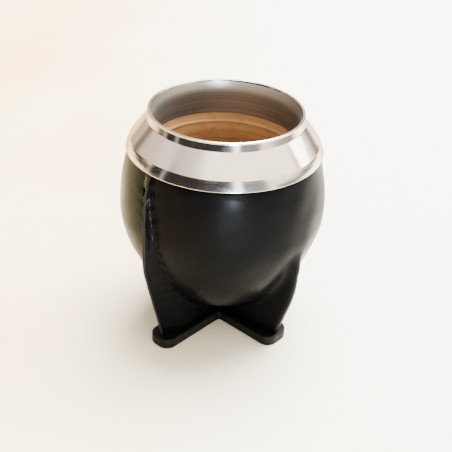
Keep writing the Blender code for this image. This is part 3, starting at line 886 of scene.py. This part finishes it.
class MATECUP_OT_stage(bpy.types.Operator):
    """Add the floor, the window, the soft room light and the camera."""

    bl_idname = "mate_cup.stage"
    bl_label = "Add stage"

    def execute(self, context):
        """Build the stage."""
        self.add_floor()
        self.add_lights(context)
        self.add_camera(context)
        return {"FINISHED"}

    @staticmethod
    def add_floor():
        """A large flat table under the cup, which ends a little in front of it."""
        half = FLOOR_HALF_SIDE
        corners = np.array([(-half, -FLOOR_FRONT, 0.0), (half, -FLOOR_FRONT, 0.0),
                            (half, half, 0.0), (-half, half, 0.0)])
        floor = mesh_piece("floor", corners, [(0, 1, 2, 3)], floor_material())

    def add_lights(self, context):
        """A low window at the right, a high soft light behind, and the room."""
        for light in LIGHTS:
            self.add_area(*light)
        world = bpy.data.worlds.new("room")
        world.use_nodes = True
        tree = world.node_tree
        way = add_node(tree, "ShaderNodeTexCoord", out="Generated")
        ahead = camera_direction(CAMERA_AZIMUTH, 0.0)
        right = (math.cos(CAMERA_AZIMUTH), math.sin(CAMERA_AZIMUTH), 0.0)
        front = add_node(tree, "ShaderNodeVectorMath", {1: ahead}, {0: way},
                         operation="DOT_PRODUCT", out="Value")
        side = add_node(tree, "ShaderNodeVectorMath", {1: right}, {0: way},
                        operation="DOT_PRODUCT", out="Value")
        azimuth = add_node(tree, "ShaderNodeMath", links={0: side, 1: front}, operation="ARCTAN2",
                           out="Value")
        height = add_node(tree, "ShaderNodeSeparateXYZ", links={"Vector": way}, out="Z")
        color = None
        for low, high, top, soft, tone in ROOM_PATCHES:
            mask = self.room_patch(tree, azimuth, height, math.radians(low),
                                   math.radians(high), top, soft)
            values = {"A": (*ROOM_COLOR, 1.0), "B": (*tone, 1.0)}
            links = {"Factor": mask}
            if color:
                links["A"] = color
            color = add_node(tree, "ShaderNodeMix", values, links, data_type="RGBA")
        tree.links.new(color, tree.nodes["Background"].inputs["Color"])
        context.scene.world = world

    @staticmethod
    def room_patch(tree, azimuth, height, low, high, top, soft):
        """Mask of the part of the room between two azimuths and under a height."""
        edges = [(azimuth, low - soft, low + soft), (azimuth, high + soft, high - soft),
                 (height, top + ROOM_TOP_SOFTNESS, top - ROOM_TOP_SOFTNESS)]
        mask = None
        for socket, start, end in edges:
            step = add_node(tree, "ShaderNodeMapRange", {"From Min": start, "From Max": end},
                            {"Value": socket}, interpolation_type="SMOOTHSTEP")
            links = {0: step}
            if mask:
                links[1] = mask
            mask = add_node(tree, "ShaderNodeMath", {1: 1.0}, links, operation="MULTIPLY",
                            out="Value")
        return mask

    @staticmethod
    def add_area(name, azimuth, elevation, distance, size, power, color):
        """Place a rectangular light that looks at the cup."""
        place = camera_direction(CAMERA_AZIMUTH + math.radians(azimuth),
                                 math.radians(elevation)) * distance
        data = bpy.data.lights.new(name, "AREA")
        data.shape = "RECTANGLE"
        data.size, data.size_y = size
        data.energy = power
        data.color = color
        light = bpy.data.objects.new(name, data)
        light.location = place
        light.rotation_euler = (-place).to_track_quat("-Z", "Y").to_euler()
        bpy.context.scene.collection.objects.link(light)

    @staticmethod
    def add_camera(context):
        """The photograph's camera, placed from the middle of the lip."""
        sizes = context.scene.mate_cup_sizes
        lip = Vector((0.0, 0.0, sizes.cup_height))
        place = lip + camera_direction(CAMERA_AZIMUTH, CAMERA_ELEVATION) * CAMERA_DISTANCE
        right = Vector((math.cos(CAMERA_AZIMUTH), math.sin(CAMERA_AZIMUTH), 0.0))
        aim = right * AIM_SIDE + Vector((0.0, 0.0, AIM_HEIGHT))
        turn = (aim - place).to_track_quat("-Z", "Y").to_matrix()
        data = bpy.data.cameras.new("camera")
        data.sensor_width = SENSOR_WIDTH_MM
        data.lens = FOCAL_PIXELS / FRAME_PIXELS * SENSOR_WIDTH_MM
        data.clip_start = CLIP_START
        camera = bpy.data.objects.new("camera", data)
        roll = Matrix.Rotation(CAMERA_ROLL, 3, "Z")
        camera.matrix_world = Matrix.Translation(place) @ (turn @ roll).to_4x4()
        context.scene.collection.objects.link(camera)
        context.scene.camera = camera


class MATECUP_OT_rim(bpy.types.Operator):
    """Add the turned metal rim with its inner sleeve."""

    bl_idname = "mate_cup.rim"
    bl_label = "Add rim"

    def execute(self, context):
        """Turn the rim's outline, then let it stray a little from round."""
        sizes = context.scene.mate_cup_sizes
        profile = rounded_outline(RIM_CORNERS, RIM_ARC_STEPS, RIM_HOLD) * MM
        points = turned_grid(profile, RIM_SEGMENTS)
        waves = layered_swells(points * RIM_LONG_STRETCH, RIM_LONG_SWELLS)
        waves += layered_swells(points, RIM_SHORT_SWELLS)
        calm = 1.0 - RIM_CALM * smooth_step(points[..., 2], *RIM_CALM_HEIGHTS)
        points = points + grid_normals(points) * (waves * calm * sizes.rim_waviness)[..., None]
        radius = np.hypot(points[..., 0], points[..., 1])
        inner = (radius < SLEEVE_EDGE_RADIUS) & (points[..., 2] < SLEEVE_EDGE_HEIGHT)
        faces = grid_quads(len(profile), RIM_SEGMENTS, True).tolist()
        # depth sets both the sleeve's satin and its painted shade
        depth = 1.0 - smooth_step(points[..., 2], SLEEVE_SATIN_AND_SHADE_HEIGHT, SLEEVE_EDGE_HEIGHT)
        satin = (inner * (SATIN_AT_LIP + (1.0 - SATIN_AT_LIP) * depth)).ravel()
        rim = mesh_piece("rim_spun", points.reshape(-1, 3), faces, metal_material(),
                         {"satin": satin})
        place_piece(rim, "metal_rim")
        return {"FINISHED"}


class MATECUP_OT_gourd(bpy.types.Operator):
    """Add the hollow calabash inside the rim and the leather."""

    bl_idname = "mate_cup.gourd"
    bl_label = "Add gourd"

    @staticmethod
    def wall_radius(heights):
        """Inner radius: a bowl up to the waist, then a shoulder in to the ledge."""
        fall = np.clip((HOLLOW_WAIST_HEIGHT - heights)
                       / (HOLLOW_WAIST_HEIGHT - HOLLOW_FLOOR_HEIGHT), 0.0, 1.0)
        bowl = HOLLOW_RADIUS * np.sqrt(1.0 - fall**2)
        rise = smooth_step(heights, HOLLOW_WAIST_HEIGHT, GOURD_RING_HEIGHT)
        return bowl + (GOURD_LEDGE_RADIUS - HOLLOW_RADIUS) * rise

    def execute(self, context):
        """Carry the wall's profile round, with raised rings below the sleeve."""
        turn = np.linspace(BOWL_START, math.pi / 2, BOWL_ROWS)
        depth = HOLLOW_WAIST_HEIGHT - HOLLOW_FLOOR_HEIGHT
        bowl_z = HOLLOW_WAIST_HEIGHT - depth * np.cos(turn)
        wall_z = np.linspace(HOLLOW_WAIST_HEIGHT, GOURD_LEDGE_HEIGHT, WALL_ROWS)[1:]
        inner_z = np.concatenate([bowl_z, wall_z])
        inner_r = self.wall_radius(inner_z)
        raised, ring_highlight = np.zeros_like(inner_z), np.zeros_like(inner_z)
        for height, rise, worn in GOURD_RINGS:
            ring = np.exp(-(((inner_z - height) / GOURD_RING_WIDTH) ** 2))
            raised += rise * ring
            ring_highlight += worn * ring
        inner_r = inner_r - GOURD_RING_DEPTH * raised
        neck_r = np.full(NECK_ROWS, GOURD_MOUTH_RADIUS)
        neck_z = np.linspace(GOURD_LEDGE_HEIGHT, GOURD_TOP_HEIGHT, NECK_ROWS)
        bowl_angles = np.linspace(0.0, math.pi / 2, BOTTOM_ROWS)[:-1]
        drop = (BODY_BOTTOM_SEMI_AXIS - GOURD_SKIN_DEPTH) * np.sin(bowl_angles)
        waist = context.scene.mate_cup_sizes.waist_height
        shoulder_z = np.linspace(GOURD_TOP_HEIGHT, waist, SHOULDER_ROWS)[:-1]
        outer_z = np.concatenate([shoulder_z, waist - drop])
        outer_r = egg_radius(outer_z, GOURD_SKIN_DEPTH)
        cone_inside = GOURD_TOP_RADIUS + (GOURD_TOP_HEIGHT - outer_z) * GOURD_CONE_SLOPE
        under_rim = outer_z > LEATHER_TOP_HEIGHT
        outer_r = np.where(under_rim, np.minimum(outer_r, cone_inside), outer_r)
        profile = np.stack([np.concatenate([inner_r, neck_r, outer_r]),
                            np.concatenate([inner_z, neck_z, outer_z])], axis=1)
        points = turned_grid(profile, GOURD_SEGMENTS)
        unseen = np.zeros(len(neck_z) + len(outer_z))
        inside = np.concatenate([np.ones(len(inner_z)), unseen])
        rough = layered_swells(points, GOURD_SWELLS) * inside[:, None]
        points = points + grid_normals(points) * rough[..., None]
        # The painted highlight on the rings varies in strength along them
        wear = GOURD_RING_HIGHLIGHT + GOURD_RING_HIGHLIGHT_VARIES * swells(points, GOURD_RING_HIGHLIGHT_WAVELENGTH, 23)
        ridge_highlight = np.concatenate([ring_highlight, unseen])[:, None] * np.clip(wear, 0.0, 1.0)
        gourd = closed_grid_piece("calabash_wall", points, calabash_material(),
                                  {"ridge_highlight": ridge_highlight})
        place_piece(gourd, "gourd")
        return {"FINISHED"}


class MATECUP_OT_cover(bpy.types.Operator):
    """Add the sewn leather cover with its four fins."""

    bl_idname = "mate_cup.cover"
    bl_label = "Add leather cover"

    def execute(self, context):
        """Find the outer surface ray by ray, add the hollow, then the soft relief."""
        heights = cover_heights()[:, None] * np.ones((1, COVER_COLUMNS))
        angles = np.tile(column_angles(COVER_COLUMNS), (COVER_ROWS, 1))
        away = np.angle(np.exp(1j * (angles - LEGS[0]["angle"])))
        follow = 1.0 - smooth_step(np.abs(away), *TWIST_FOLLOWS)
        angles = angles + seam_twist(heights) * follow
        radii = leather_radius(angles, heights)
        outer = np.stack([radii * np.cos(angles), radii * np.sin(angles), heights], axis=2)
        outer, cut = self.relief(context, outer)
        waist = context.scene.mate_cup_sizes.waist_height
        turn = np.linspace(CAVITY_START, math.pi / 2, CAVITY_ROWS)
        bowl = waist - (BODY_BOTTOM_SEMI_AXIS - LEATHER_WALL) * np.cos(turn)
        wall = np.linspace(waist, LEATHER_TOP_HEIGHT, CAVITY_WALL_ROWS)[1:]
        cavity_z = np.concatenate([bowl, wall])
        cavity_r = egg_radius(cavity_z, LEATHER_WALL)[:, None]
        flat = np.tile(column_angles(COVER_COLUMNS), (len(cavity_z), 1))
        inner = np.stack([cavity_r * np.cos(flat), cavity_r * np.sin(flat),
                          np.broadcast_to(cavity_z[:, None], flat.shape)], axis=2)
        points = np.concatenate([inner, outer])
        values = np.concatenate([np.zeros(inner.shape[:2]), cut])
        cover = closed_grid_piece("cover_leather", points, leather_material(),
                                  {"cut_edge": values})
        place_piece(cover, "leather_cover")
        return {"FINISHED"}

    def relief(self, context, points):
        """Move the surface along its normals, and mark where the leather was cut.

        Swells, less puckers that wave along the seam and fall as e^-(gap / reach)^2, less
        a groove along the seam's edge that falls as e^-(across / half width)^2.
        """
        sizes = context.scene.mate_cup_sizes
        x, y, z = points[..., 0], points[..., 1], points[..., 2]
        along, across = leg_coordinates(x, y, z, LEGS[0])
        behind = smooth_curve(FIN_REACH[SEAM_LEG], z) - along
        out = along > 0.0
        ends = smooth_step(z, *RELIEF_STARTS) * (1.0 - smooth_step(z, *RELIEF_ENDS))
        move = layered_swells(points, LEATHER_SWELLS) * sizes.unevenness * ends
        track_z, track_s = seam_track()
        place = np.interp(z, track_z, track_s)
        gap = np.hypot(along - egg_radius(z, 0.0), across)
        near = out * np.exp(-((gap / PUCKER_REACH) ** 2))
        wander = PUCKER_WANDER * swells(points, PUCKER_WANDER_WAVELENGTH, 33)
        pull = np.cos(place * math.tau / STITCH_PITCH + wander)
        move -= near * (0.5 + 0.5 * pull) * PUCKER_DEPTH * ends
        groove = out * np.exp(-((across / SEAM_GROOVE_HALF_WIDTH) ** 2))
        groove = groove * (1.0 - smooth_step(behind, *GROOVE_FADES))
        move -= groove * SEAM_GROOVE_DEPTH * ends
        cut_width = (CUT_EDGE_FLAT_SHARE * CUT_EDGE_HALF_WIDTH, CUT_EDGE_HALF_WIDTH)
        flat = 1.0 - smooth_step(np.abs(across), *cut_width)
        cut = out * flat * (1.0 - smooth_step(behind, *CUT_EDGE_FADES))
        cut = cut * (1.0 - GROOVE_DARKENS * groove)
        return points + grid_normals(points) * move[..., None], cut


def seam_track():
    """Heights up the body beside the seam and the length of the way up to each."""
    heights = np.linspace(STITCH_LOW, STITCH_HIGH, 400)
    steps = np.hypot(np.diff(heights), np.diff(egg_radius(heights, 0.0)))
    return heights, np.concatenate([[0.0], np.cumsum(steps)])


def seam_points(lengths, side):
    """Points and outward normals in the crease beside the seam, at lengths up its way."""
    track_z, track_s = seam_track()
    heights = np.interp(lengths, track_s, track_z)
    direction = fin_direction(LEGS[0], heights)
    cx, cy = sole_center()
    along = egg_radius(heights, 0.0) + STITCH_STEP_OUT

    def place(across):
        """Give the places this far beside the middle of the seam's fin."""
        px = cx + along * np.cos(direction) - side * across * np.sin(direction)
        py = cy + along * np.sin(direction) + side * across * np.cos(direction)
        return px, py

    def inside(across):
        """Tell which of those places lie in the leather."""
        return leather_distance(*place(across), heights) < 0.0

    across = halve_to_surface(inside, np.zeros_like(heights), np.full_like(heights, CREASE_SEARCH))
    px, py = place(across)
    step = SLOPE_STEP
    slope = [leather_distance(px + step * a, py + step * b, heights + step * c)
             - leather_distance(px - step * a, py - step * b, heights - step * c)
             for a, b, c in np.eye(3)]
    normals = np.stack(slope, axis=1)
    normals /= np.linalg.norm(normals, axis=1, keepdims=True)
    return np.stack([px, py, heights], axis=1), normals


class MATECUP_OT_stitches(bpy.types.Operator):
    """Add the stitches along both sides of the seam."""

    bl_idname = "mate_cup.stitches"
    bl_label = "Add stitches"

    def execute(self, context):
        """Lay an arched tube between every two holes, in the crease on both sides."""
        length = seam_track()[1][-1]
        middles = np.arange(0.5 * STITCH_PITCH, length - STITCH_TOP_GAP * STITCH_PITCH,
                            STITCH_PITCH)
        vertices, faces = [], []
        for side in (1.0, -1.0):
            for middle in middles:
                first = len(vertices) * STITCH_RINGS * STITCH_SIDES
                vertices.append(self.tube(middle, side))
                quads = grid_quads(STITCH_RINGS, STITCH_SIDES, False)
                faces += (quads + first).tolist()
                ring = np.arange(STITCH_SIDES)
                last = (STITCH_RINGS - 1) * STITCH_SIDES
                faces.append((first + ring).tolist())
                faces.append((first + last + ring[::-1]).tolist())
        thread = mesh_piece("seam_stitches", np.concatenate(vertices), faces,
                            thread_material())
        place_piece(thread)
        return {"FINISHED"}

    @staticmethod
    def tube(middle, side):
        """Vertices of one stitch: rings that rise in the middle and sink at both ends."""
        share = np.linspace(0.0, 1.0, STITCH_RINGS)
        path, out = seam_points(middle + (share - 0.5) * STITCH_LENGTH, side)
        arch = np.sin(share * math.pi)[:, None] ** 0.5
        path = path + out * (STITCH_RISE * STITCH_RADIUS * arch - STITCH_SINK * STITCH_RADIUS)
        forward = np.gradient(path, axis=0)
        forward /= np.linalg.norm(forward, axis=1, keepdims=True)
        beside = np.cross(forward, out)
        turn = np.linspace(0.0, math.tau, STITCH_SIDES, endpoint=False)[None, :, None]
        round_ = out[:, None] * np.cos(turn) - beside[:, None] * np.sin(turn)
        round_ends = np.clip(1.0 - (2.0 * share - 1.0) ** 4, STITCH_END_SQUARED, 1.0)
        width = STITCH_RADIUS * np.sqrt(round_ends)
        return (path[:, None] + round_ * width[:, None, None]).reshape(-1, 3)


class MATECUP_OT_sole(bpy.types.Operator):
    """Add the cross-shaped sole."""

    bl_idname = "mate_cup.sole"
    bl_label = "Add sole"

    def outline(self):
        """The cross: four arms with rounded ends, worked out from the legs."""
        center = sole_center() / MM
        corner = SOLE_CORNER_RADIUS / MM
        order = sorted(LEGS, key=lambda item: item["angle"])
        corners = []
        for i, leg in enumerate(order):
            reach = leg["sole_reach"] / MM
            half = leg["sole_half_width"] / MM
            after = order[(i + 1) % len(order)]["sole_half_width"] / MM
            local = [(reach, -half, corner), (reach, half, corner),
                     (after, half, SOLE_NOTCH_RADIUS / MM)]
            cos, sin = math.cos(leg["angle"]), math.sin(leg["angle"])
            for x, y, fillet in local:
                corners.append((center[0] + x * cos - y * sin,
                                center[1] + x * sin + y * cos, fillet))
        return self.spread(rounded_outline(corners, SOLE_ARC_STEPS, SOLE_HOLD)) * MM

    @staticmethod
    def spread(outline):
        """Add points along the long straight sides, every millimetre."""
        points = []
        for start, end in zip(outline, np.roll(outline, -1, axis=0)):
            steps = max(1, int(np.linalg.norm(end - start) / 1.0))
            for k in range(steps):
                points.append(start + (end - start) * k / steps)
        return np.array(points)

    def execute(self, context):
        """Carry an edge profile round the outline: in to the middle above and below."""
        outline = self.outline()
        center = sole_center()
        tangent = np.roll(outline, -1, axis=0) - np.roll(outline, 1, axis=0)
        tangent /= np.linalg.norm(tangent, axis=1, keepdims=True)
        inward = np.stack([-tangent[:, 1], tangent[:, 0]], axis=1)
        top = context.scene.mate_cup_sizes.sole_thickness
        eased = SOLE_EDGE_ROUND
        turn = np.linspace(math.pi / 2, 0.0, SOLE_EDGE_ROWS)
        rows = [(share, 0.0, top) for share in SOLE_UPPER_SHARES]
        for angle in turn:
            rows.append((1.0, eased * (1.0 - math.cos(angle)), top - eased + eased * math.sin(angle)))
        for height in np.linspace(top - eased, eased, SOLE_EDGE_ROWS)[1:-1]:
            rows.append((1.0, 0.0, height))
        for angle in turn[::-1]:
            rows.append((1.0, eased * (1.0 - math.cos(angle)), eased - eased * math.sin(angle)))
        rows += [(share, 0.0, 0.0) for share in SOLE_UNDER_SHARES]
        grid = []
        for share, step, height in rows:
            moved = outline + inward * max(step, eased if share < 1.0 else 0.0)
            level = center + (moved - center) * share
            grid.append(np.column_stack([level, np.full(len(level), height)]))
        points = np.array(grid)
        rough = layered_swells(points, SOLE_SWELLS)[..., None]
        side = smooth_step(points[..., 2], 0.0, SOLE_FLAT_BELOW)[..., None]
        points = points + grid_normals(points) * rough * side
        points[..., 2] = np.clip(points[..., 2], 0.0, top + SOLE_TOP_SLACK)
        sole = closed_grid_piece("sole_bend", points, sole_material())
        place_piece(sole, "sole")
        return {"FINISHED"}


class MATECUP_PT_panel(bpy.types.Panel):
    """Buttons for every piece, and the sizes and colours."""

    bl_idname = "MATECUP_PT_panel"
    bl_label = "Mate Cup"
    bl_space_type = "VIEW_3D"
    bl_region_type = "UI"
    bl_category = "Mate Cup"

    def draw(self, context):
        """List the operators, then the properties."""
        layout = self.layout
        for operator in OPERATORS:
            layout.operator(operator.bl_idname)
        for group in (context.scene.mate_cup_sizes, context.scene.mate_cup_colors):
            box = layout.box()
            for key in group.__annotations__:
                box.prop(group, key)


OPERATORS = (
    MATECUP_OT_stage,
    MATECUP_OT_rim,
    MATECUP_OT_gourd,
    MATECUP_OT_cover,
    MATECUP_OT_stitches,
    MATECUP_OT_sole,
)
CLASSES = (MateCupSizes, MateCupColors, *OPERATORS, MATECUP_PT_panel)


def register():
    """Register the classes and hang the two property groups on the scene."""
    for cls in CLASSES:
        bpy.utils.register_class(cls)
    bpy.types.Scene.mate_cup_sizes = bpy.props.PointerProperty(type=MateCupSizes)
    bpy.types.Scene.mate_cup_colors = bpy.props.PointerProperty(type=MateCupColors)


def unregister():
    """Take the property groups and the classes away again."""
    del bpy.types.Scene.mate_cup_colors
    del bpy.types.Scene.mate_cup_sizes
    for cls in reversed(CLASSES):
        bpy.utils.unregister_class(cls)


def main():
    register()
    bpy.ops.mate_cup.stage()
    bpy.ops.mate_cup.rim()
    bpy.ops.mate_cup.gourd()
    bpy.ops.mate_cup.cover()
    bpy.ops.mate_cup.stitches()
    bpy.ops.mate_cup.sole()


if __name__ == "__main__":
    main()
